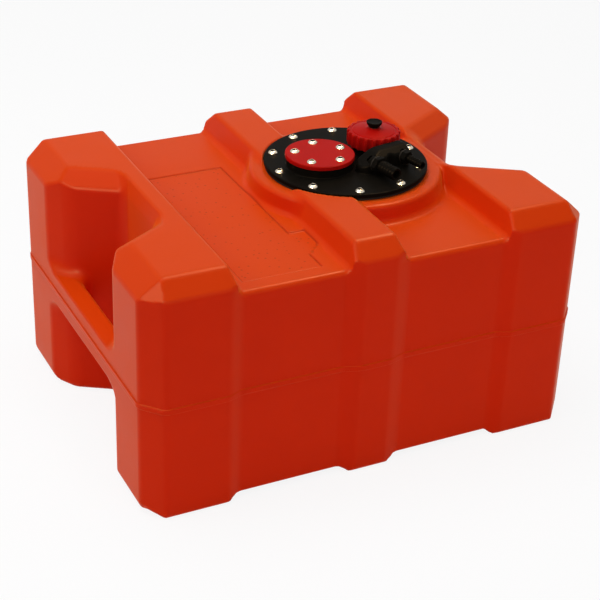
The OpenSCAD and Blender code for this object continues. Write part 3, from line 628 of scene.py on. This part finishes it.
tank_lines = (
    ticks((-255, -222, 3), (-222, -190, 4.5), (-190, -142, 3), (-142, -136, 0.75), (-136, -56, 8),
          (-56, -50, 0.75), (-50, -38, 3), (-38, -32, 0.75), (-32, 42, 2.6), (42, 142, 4.5),
          (142, 190, 3), (190, 222, 4.5), (222, 255, 3)),
    ticks((-196, -168, 2.8), (-168, -162, 0.75), (-162, -110, 5.2), (-110, 83, 3.6), (83, 89, 0.75),
          (89, 110, 4.2), (110, 168, 7), (168, 196, 2.8)),
    ticks((-3, 21, 2), (21, 96, 11), (96, 122, 3.6), (122, 124.6, 1.3), (124.6, 125.4, 0.27),
          (125.4, 130.6, 1.7), (130.6, 131.4, 0.27), (131.4, 134, 1.3), (134, 160, 3.6), (160, 224, 10),
          (224, 269, 2.3)))
tank_points, tank_quads = skin(tank_outside, tank_lines)
print("tank skin:", tank_points.shape[1], "vertices,", len(tank_quads), "quads")

# %% [markdown]
# ## Putting a skin into Blender
# The arrays go into a mesh in metres, in one call for the vertices and one for the faces, and the slope of the
# distance becomes the normal of each vertex. Every piece gets its finish, looked up by the name of its slot,
# and hides the solids that it stands for and rides on its body, all in one place. The tank also gets two marks,
# which tell its finish where the pad is and where the pad's groove is, to paint shade there.

# %% Mesh helper
# The groove's mark darkens the tank's colour along the pad's groove: painted shade.
PAD_MARK_Z, PAD_MARK_RUN, GROOVE_SHADE = 235, 4, 0.55


def fit_out(piece, slot, body, *nodes):
    """Finish of one piece, looked up by the name of its slot, with the solids that it replaces hidden and its
    body.
    """
    piece.data.materials.clear()
    piece.data.materials.append(FINISH[slot])
    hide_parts(*nodes)
    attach(piece, body)
    print(piece.name, "has", len(piece.data.polygons), "faces")
    return piece


def mesh_piece(name, points, faces_list, slopes=None, **marks):
    """Object from vertices in mm (3 x n), faces and, if given, one normal for each vertex. A mark is a number
    for each vertex that a material can read by the mark's name."""
    mesh = bpy.data.meshes.new(name)
    mesh.from_pydata((points.T * MM).tolist(), [], faces_list)
    mesh.polygons.foreach_set("use_smooth", np.ones(len(mesh.polygons), bool))
    mesh.update()
    for mark, values in marks.items():
        mesh.attributes.new(mark, "FLOAT", "POINT").data.foreach_set("value", values.astype(np.float32))
    if slopes is not None:
        mesh.normals_split_custom_set_from_vertices((slopes / np.linalg.norm(slopes, axis=0)).T.tolist())
    piece = bpy.data.objects.new(name, mesh)
    scene.collection.objects.link(piece)
    return piece


# The pad's mark places the painted shade of each small pit, and the groove's mark places painted shade along
# the groove.
from_outline = pad_outline(tank_points[0], tank_points[1])
on_panel = tank_points[2] > PAD_MARK_Z
tank = mesh_piece("tank_moulding", tank_points, tank_quads.tolist(), gradient(tank_outside, tank_points),
                  pad_area=ease(-from_outline / PAD_MARK_RUN) * on_panel,
                  pad_line=GROOVE_SHADE * groove(from_outline) * on_panel)
fit_out(tank, "tank_plastic", "tank", "tank_body")

# %% [markdown]
# ## Turned pieces
# Caps, knobs, screws and hose tails are round, so each is a profile carried round an axis, as on a lathe.
# The corners of the profile are eased first, because no moulded or machined edge is perfectly sharp. A
# table of factors, one for each row and angle, changes the radius where a piece isn't round: flutes,
# hexagons and sockets come from it.


# %% Lathe
def eased(corners, cut, steps=4):
    """A polyline whose inner corners are replaced by the curve (1-t)^2 a + 2t(1-t) p + t^2 b between points
    at the cut length before and after each corner p, or at 0.45 of the shorter side where that is less."""
    p = np.array(corners, float)
    before, after = p[:-2] - p[1:-1], p[2:] - p[1:-1]
    length = [np.linalg.norm(v, axis=1, keepdims=True) for v in (before, after)]
    reach = np.minimum(np.reshape(cut, (-1, 1)), 0.45 * np.minimum(*length))
    a, b = p[1:-1] + before / length[0] * reach, p[1:-1] + after / length[1] * reach
    t = np.linspace(0, 1, steps)[:, None, None]
    arcs = (1 - t) ** 2 * a + 2 * t * (1 - t) * p[1:-1] + t ** 2 * b
    return np.concatenate([p[:1], arcs.transpose(1, 0, 2).reshape(-1, 2), p[-1:]])


def lathe(profile, turns, factor=1.0, closed=False):
    """Points (r cos a, r sin a, z) for each profile row and angle, and the quads between them. The profile
    runs up on the outside, so that the faces look outwards; a closed one joins its last row to its first."""
    r, z = profile.T
    angle = 2 * np.pi * np.arange(turns) / turns
    radius = r[:, None] * np.broadcast_to(factor, (len(r), turns))
    points = np.stack([radius * np.cos(angle), radius * np.sin(angle), np.repeat(z[:, None], turns, 1)])
    rows = len(r) if closed else len(r) - 1
    i, j = np.meshgrid(np.arange(rows), np.arange(turns), indexing="ij")
    up, round_ = (i + 1) % len(r), (j + 1) % turns
    quads = np.stack([i * turns + j, i * turns + round_, up * turns + round_, up * turns + j], axis=-1)
    return points.reshape(3, -1), quads.reshape(-1, 4)


def polygon(sides, turns):
    """Radius of a polygon with corners at 1: cos of half a side's angle, over cos of the angle from the
    middle of the side."""
    angle, half = 2 * np.pi * np.arange(turns) / turns, np.pi / sides
    return np.cos(half) / np.cos(angle % (2 * half) - half)


def turned_piece(name, points, quads, crease=38, **marks):
    """Object whose poles are merged to one point and whose edges over the crease angle stay sharp."""
    piece = mesh_piece(name, points, quads.tolist(), **marks)
    work = bmesh.new()
    work.from_mesh(piece.data)
    bmesh.ops.remove_doubles(work, verts=work.verts, dist=1e-7)
    work.to_mesh(piece.data)
    work.free()
    piece.data.set_sharp_from_angle(angle=np.radians(crease))
    return piece


print("eased square corner:", eased([(0, 0), (4, 0), (4, 4)], 1.0).round(2).tolist())

# %% [markdown]
# ## Screws
# The cover is held by ten button-head screws and the gauge plate by five. They are stainless, with a domed head
# and a hexagon socket. One screw is turned, with the hexagon as a factor on the socket's rows, and copied round
# its circle. Each is left at a slightly different turn, as a fitter leaves them. The rows inside the socket are
# marked, so that the steel is painted dark there, as painted shade inside the socket.

# %% Screws
SCREW_TURNS, SHANK_R, HEAD_R, SOCKET_R = 48, 2.95, 5.1, 2.75
DOME_R, DOME_DROP, OWN_TURN = 6, 2.8, 0.65
COVER_C, SENDER_C = (BOSS_X, 0), (24.0, -2.5)
COVER_Z, GAUGE_Z = 267, 281.5


def on_circle(count, circle_mm, centre, first):
    """Places at equal angles on a circle, one row (x, y) for each."""
    around = first + 2 * np.pi * np.arange(count) / count
    return np.stack([centre[0] + circle_mm * np.cos(around), centre[1] + circle_mm * np.sin(around)], axis=1)


def screw(shank_mm):
    """Profile from the tip of the shank to the dome z = sqrt(6^2 - r^2) - 2.8, then down into the socket."""
    dome = np.linspace(HEAD_R, SOCKET_R, 9)
    head = np.column_stack([dome, np.sqrt(DOME_R ** 2 - dome ** 2) - DOME_DROP])
    low = eased([(0, -shank_mm), (SHANK_R, -shank_mm), (SHANK_R, -0.001), (4.8, 0), (HEAD_R, 0.12)],
                [0.5, 0.05, 0.05])
    socket = np.array([(2.72, 2.5), (2.66, 2.3), (2.6, 0.9), (2.3, 0.8), (0, 0.6)])
    profile = np.concatenate([low, head, socket])
    factor, inside = np.ones((len(profile), SCREW_TURNS)), np.zeros((len(profile), SCREW_TURNS))
    factor[-4:-1] = polygon(6, SCREW_TURNS)
    # These rows take painted shade in the finish: the inside of the socket is painted dark.
    inside[-4:] = 1
    return *lathe(profile, SCREW_TURNS, factor), inside.ravel()


def screws(name, places, seat_z, shank_mm):
    """One screw copied to each place, each copy turned by its own angle."""
    points, quads, inside = screw(shank_mm)
    step = np.arange(len(places))
    c, s = np.cos(OWN_TURN * step)[:, None], np.sin(OWN_TURN * step)[:, None]
    x = c * points[0] - s * points[1] + places[:, :1]
    y = s * points[0] + c * points[1] + places[:, 1:]
    z = np.repeat(points[2][None] + seat_z, len(places), 0)
    every = quads[None] + (step * points.shape[1])[:, None, None]
    return turned_piece(name, np.stack([x, y, z]).reshape(3, -1), every.reshape(-1, 4),
                        socket=np.tile(inside, len(places)))


COVER_HOLES = on_circle(10, 80, COVER_C, np.radians(1.5))
SENDER_HOLES = on_circle(5, 27, SENDER_C, np.radians(8.5))
fit_out(screws("cover_screws", COVER_HOLES, COVER_Z, 19), "stainless", "tank", "flange_screws")
fit_out(screws("gauge_screws", SENDER_HOLES, GAUGE_Z, 12.5), "stainless", "tank", "sender_screws")

# %% [markdown]
# ## Filler cap
# The cap is a red moulding with a fluted skirt to grip. A low cone rises from its flat rim to the bleed knob
# in the middle. Underneath it is hollow, with a flat roof that presses on the gasket. The flutes are round
# scoops, sqrt(3.4^2 - s^2) - 1.2 mm deep at a distance s from the middle of a flute. They cut the rim too, so
# the rows outside the ring groove are drawn together towards it by the same share.

# %% Cap
CAP_C, CAP_R, CAP_TURNS, RIM_R = (98.0, 14.0), 29.3, 320, 25.3
FLUTES, FLUTE_R, FLUTE_OUT = 20, 3.4, 1.2
cap_line = eased([(2.55, 287), (2.55, 293.2), (6.6, 293.2), (8.4, 292.2), (10, 291.8), (23.2, 290.3),
                  (23.8, 289.6), (24.8, 289.6), (RIM_R, 290), (CAP_R, 290), (CAP_R, 275), (23.4, 275),
                  (23.4, 287), (2.55, 287)],
                 [0.3, 0.6, 0.6, 1, 0.4, 0.3, 0.3, 0.4, 1.6, 0.8, 0.4, 0.4])[::-1]
across = 2 * np.pi * np.arange(CAP_TURNS) / CAP_TURNS
offset = CAP_R * ((across * FLUTES / (2 * np.pi) + 0.5) % 1 - 0.5) * 2 * np.pi / FLUTES
scoop = np.maximum(np.sqrt(np.maximum(FLUTE_R ** 2 - offset ** 2, 0)) - FLUTE_OUT, 0)
row_r = cap_line[:-1, :1]
drawn_in = RIM_R + (row_r - RIM_R) * (1 - scoop / (CAP_R - RIM_R))
fluted = np.where(row_r > RIM_R, drawn_in, row_r)
cap_points, cap_quads = lathe(cap_line[:-1], CAP_TURNS, fluted / row_r, closed=True)
cap_points += np.array([*CAP_C, 0])[:, None]
fit_out(turned_piece("filler_cap", cap_points, cap_quads), "fitting_red", "cap", "cap_shell")

# %% [markdown]
# ## Bleed knob
# The black knob in the middle of the cap lets air in when it is unscrewed. It widens upwards so that
# fingers can lift it, has eight soft sides to turn it by, and its top is slightly dished. Its stem runs
# through the cap to a clip in a groove.

# %% Knob
KNOB_TURNS, GRIP_R, GRIP_SHARE, KNOB_CREASE = 72, 5, 0.6, 50
knob_line = eased([(0, 279.5), (2.5, 279.5), (2.5, 280.7), (1.9, 280.7), (1.9, 281.9), (2.5, 281.9),
                   (2.5, 293.8), (5.8, 293.8), (9, 298.6), (8.9, 300), (7.4, 300), (6.8, 299.5), (0, 299.3)],
                  [0.4, 0.05, 0.05, 0.05, 0.05, 0.1, 0.4, 0.6, 0.4, 0.3, 0.3])
eight_sides = 1 - GRIP_SHARE * (1 - polygon(8, KNOB_TURNS))
knob_points, knob_quads = lathe(knob_line, KNOB_TURNS, np.where(knob_line[:, :1] > GRIP_R, eight_sides, 1))
knob_points += np.array([*CAP_C, 0])[:, None]
knob = turned_piece("bleed_knob", knob_points, knob_quads, KNOB_CREASE)
fit_out(knob, "cover_plastic", "bleed_knob", "vent_knob")

# %% [markdown]
# ## Hose tails
# A hose is pushed over the barbs of each tail and clipped. Every barb rises sharply on the side of the
# hexagon and falls gently towards the end, so a hose slides on and doesn't come off. The hexagon takes a
# spanner; its corners are chamfered where a round cut meets the flats. The bore runs right through. Both
# tails stand in a block that is turned a little from the tank, so they are placed along its own directions.

# %% Hose tails
BLOCK_TURN = np.radians(12)
HOSE_OUT = np.array([np.sin(BLOCK_TURN), -np.cos(BLOCK_TURN), 0])
HOSE_SIDE = np.array([np.cos(BLOCK_TURN), np.sin(BLOCK_TURN), 0])
BLOCK_OUT, BLOCK_HALF, VENT_ALONG, HOSE_Z = 39.75, 11.25, -38.5, 278
BARBS, BARB_DEPTH, HEX_END, TAIL_TURNS, TAIL_CREASE = 6, 0.8, 7.7, 72, 30


def hose_tail(name, along_block, crest, bore, thread, flats, length, node):
    """Profile in (r, distance out of the block): thread, hexagon, barbs, and back through the bore."""
    root, pitch, corner = crest - BARB_DEPTH, length / BARBS, flats / 2 / np.cos(np.pi / 6)
    number = np.arange(BARBS)[:, None]
    tooth = np.array([(root, 0.1), (root, 0.45), (crest, 0.55), (crest, 0.66), (root, 0.98)])
    barbs = np.stack([np.tile(tooth[:, 0], (BARBS, 1)), HEX_END + (number + tooth[:, 1]) * pitch], axis=-1)
    lower = np.array([(bore, -7), (thread - 0.5, -7), (thread, -6.5), (thread, 1.2), (flats / 2 - 0.4, 1.2)])
    nut = np.array([(corner, 1.8), (corner, 7.1), (flats / 2 - 0.5, HEX_END), (root, HEX_END)])
    tip = np.array([(bore + 0.4, HEX_END + length), (bore, HEX_END + length - 0.4)])
    line = np.concatenate([lower, nut, barbs.reshape(-1, 2), tip])
    factor = np.ones((len(line), TAIL_TURNS))
    factor[5:7] = polygon(6, TAIL_TURNS)
    points, quads = lathe(line, TAIL_TURNS, factor, closed=True)
    seat = np.array([*CAP_C, HOSE_Z]) + HOSE_SIDE * along_block + HOSE_OUT * (BLOCK_OUT + BLOCK_HALF)
    block_axes = np.column_stack([HOSE_SIDE, np.array([0, 0, 1.0]), HOSE_OUT])
    piece = turned_piece(name, block_axes @ points + seat[:, None], quads, TAIL_CREASE)
    return fit_out(piece, "cover_plastic", "tank", node)


hose_tail("vent_hose_tail", VENT_ALONG, crest=7.0, bore=4.5, thread=6.45, flats=17, length=25, node="vent_tail")
hose_tail("outlet_hose_tail", 0.0, crest=4.5, bore=2.5, thread=4.95, flats=13, length=23, node="outlet_tail")

# %% [markdown]
# ## Gauge plate
# A red disc covers the port where a fuel gauge sender would go. It is a flat moulding with eased rims, a
# short skirt that hides the edge of its gasket, and five holes. It is simple enough to be a distance
# function: a disc less a shallow hollow and five round holes.

# %% Gauge plate
GAUGE_R, GAUGE_MID_Z, GAUGE_HALF, GAUGE_RIM_R = 37.5, 279.1, 2.4, 0.9
SKIRT_R, SKIRT_Z = 36.3, 278.5
SCREW_HOLE_R, HOLE_EDGE_R = 3.4, 0.3


def away(x, y, centre):
    """Distance from an upright axis."""
    return np.hypot(x - centre[0], y - centre[1])


def gauge_plate(points):
    """Disc with eased rims, hollow underneath so that a skirt goes round the collar, less its screw holes."""
    x, y, z = points
    out = away(x, y, SENDER_C)
    d = round_and(out - GAUGE_R, np.abs(z - GAUGE_MID_Z) - GAUGE_HALF, GAUGE_RIM_R)
    d = np.maximum(d, -np.maximum(out - SKIRT_R, z - SKIRT_Z))
    for hole in SENDER_HOLES:
        d = round_and(d, SCREW_HOLE_R - away(x, y, hole), HOLE_EDGE_R)
    return d


plate_lines = (ticks((-15, 63, 0.8)), ticks((-42, 37, 0.8)), ticks((275.5, 282.5, 0.5)))
plate_points, plate_quads = skin(gauge_plate, plate_lines)
plate = mesh_piece("gauge_plate", plate_points, plate_quads.tolist(), gradient(gauge_plate, plate_points))
fit_out(plate, "fitting_red", "tank", "sender_plate")

# %% [markdown]
# ## Hood of the hose block
# The hoses leave the cover through a hooded block. The hood wraps round the cap, drops away at its left end,
# and a crease parts the larger half from the smaller one. Its shape is written along the block's own
# directions: u along the block and v across it, both from the axis of the filler.

# %% Hood
HOOD_Z, HOOD_LEFT, HOOD_RIGHT = 287, -42.75, 11
FALL_LEFT, FALL_FRONT = (-30, HOOD_Z, -0.5, 1), (-40, HOOD_Z, -0.5, 1)
CREASE_R, CREASE_U, CREASE_V, CAP_ROOM_R = 6, -17, -54, 30.5


def block_place(x, y):
    """Place along the hose block and across it, from the filler's axis."""
    dx, dy = x - CAP_C[0], y - CAP_C[1]
    return dx * HOSE_SIDE[0] + dy * HOSE_SIDE[1], dy * HOSE_SIDE[0] - dx * HOSE_SIDE[1]


def hood(u, v, z):
    """Block with a round left end, a sloping top, a crease in front and room for the cap behind."""
    left = np.hypot(np.minimum(u - HOOD_LEFT, 0), v + BLOCK_OUT) - BLOCK_HALF
    straight = round_and(np.abs(v + BLOCK_OUT) - BLOCK_HALF, u - HOOD_RIGHT, 5)
    top = round_and(z - HOOD_Z, slant(u, z, *FALL_LEFT), 3)
    top = round_and(top, slant(v, z, *FALL_FRONT), 1)
    d = round_and(np.where(u < HOOD_LEFT, left, straight), top, 2.5)
    d = round_and(d, CREASE_R - np.hypot(u - CREASE_U, v - CREASE_V), 2)
    return round_and(d, CAP_ROOM_R - np.hypot(u, v), 1.2)


print("hood:", HOOD_RIGHT - HOOD_LEFT + BLOCK_HALF, "mm long,", 2 * BLOCK_HALF, "mm deep")

# %% [markdown]
# ## Cover plate
# The cover is one black moulding: a round plate, a collar for the gauge port, the filler neck and the hood.
# All of these flow into the plate, so they are joined as distances. Then the bores are taken out: the screw
# holes, the pockets of the inserts, the gauge port, the filler, and the two passages from the hoses, which
# turn down through stubs under the plate.

# %% Cover plate
PLATE_R, PLATE_MID_Z, PLATE_HALF, PLATE_RIM_R, JOIN_Z, JOIN_R = 89, 264.5, 2.5, 1.3, 263, 1.5
COLLAR_R, COLLAR_Z, PORT_R = 36, 277, 20
NECK_R, NECK_Z, FILLER_R = 23, 285, 19
STUB_R, STUB_LOW_Z, STUB_TOP_Z = 8, 246, 264
INSERT_R, INSERT_Z = 4.55, 268
THREAD_V, PICKUP_R, PICKUP_Z = -44, 5.05, 258


def cover(points):
    """Plate, collar, neck, hood and stubs joined, less every bore."""
    x, y, z = points
    u, v = block_place(x, y)
    sender, filler = away(x, y, SENDER_C), np.hypot(u, v)
    vent, outlet = np.hypot(u - VENT_ALONG, v + BLOCK_OUT), np.hypot(u, v + BLOCK_OUT)
    d = round_and(away(x, y, COVER_C) - PLATE_R, np.abs(z - PLATE_MID_Z) - PLATE_HALF, PLATE_RIM_R)
    for part in (round_and(sender - COLLAR_R, z - COLLAR_Z, 1), round_and(filler - NECK_R, z - NECK_Z, 1),
                 hood(u, v, z)):
        d = round_or(d, np.maximum(part, JOIN_Z - z), JOIN_R)
    d = np.minimum(d, np.maximum(np.minimum(vent, outlet) - STUB_R, np.maximum(STUB_LOW_Z - z, z - STUB_TOP_Z)))
    for hole in COVER_HOLES:
        d = np.maximum(d, SCREW_HOLE_R - away(x, y, hole))
    for hole in SENDER_HOLES:
        d = np.maximum(d, np.minimum(INSERT_R - away(x, y, hole), z - INSERT_Z))
    d = np.maximum(np.maximum(d, PORT_R - sender), FILLER_R - filler)
    for along, bore, thread, drop in ((u - VENT_ALONG, 5, 6.5, vent), (u, 2.5, 5, outlet)):
        level = np.hypot(along, z - HOSE_Z)
        d = np.maximum(d, np.minimum(bore - drop, HOSE_Z - z))
        d = np.maximum(d, np.minimum(bore - level, -BLOCK_OUT - v))
        d = np.maximum(d, np.minimum(thread - level, THREAD_V - v))
    return np.maximum(d, np.minimum(PICKUP_R - outlet, PICKUP_Z - z))


cover_lines = (ticks((-35, 149, 1.3)), ticks((-92, 92, 1.3)),
               ticks((244, 260, 2), (260, 269, 0.75), (269, 290, 1.25)))
cover_points, cover_quads = skin(cover, cover_lines)
cover_piece = mesh_piece("cover_plate", cover_points, cover_quads.tolist(), gradient(cover, cover_points))
fit_out(cover_piece, "cover_plastic", "tank", "flange_plate")

# %% [markdown]
# ## Solids that stay
# Gaskets, washers, inserts and everything inside the tank already have their true shape, so they stay as
# they are and only take a finish. The record says which slot each one has.

# %% Finishes of the solids
NODE_SLOT = {"flange_inserts": "brass", "sender_inserts": "brass", "flange_gasket": "rubber",
             "sender_gasket": "rubber", "cap_gasket": "rubber", "vent_seal": "rubber",
             "vent_tail_washer": "rubber", "outlet_tail_washer": "rubber", "vent_retainer": "stainless",
             "pickup_tube": "aluminium", "pickup_strainer": "strainer_plastic",
             "pickup_end_cap": "strainer_plastic", "vent_valve_ball": "strainer_plastic",
             "vent_valve_cage": "cover_plastic", "vent_valve_floor": "cover_plastic"}
for node_name, slot_name in NODE_SLOT.items():
    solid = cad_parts[node_name]
    solid.data.materials.clear()
    solid.data.materials.append(FINISH[slot_name])
print("solids dressed:", len(NODE_SLOT))
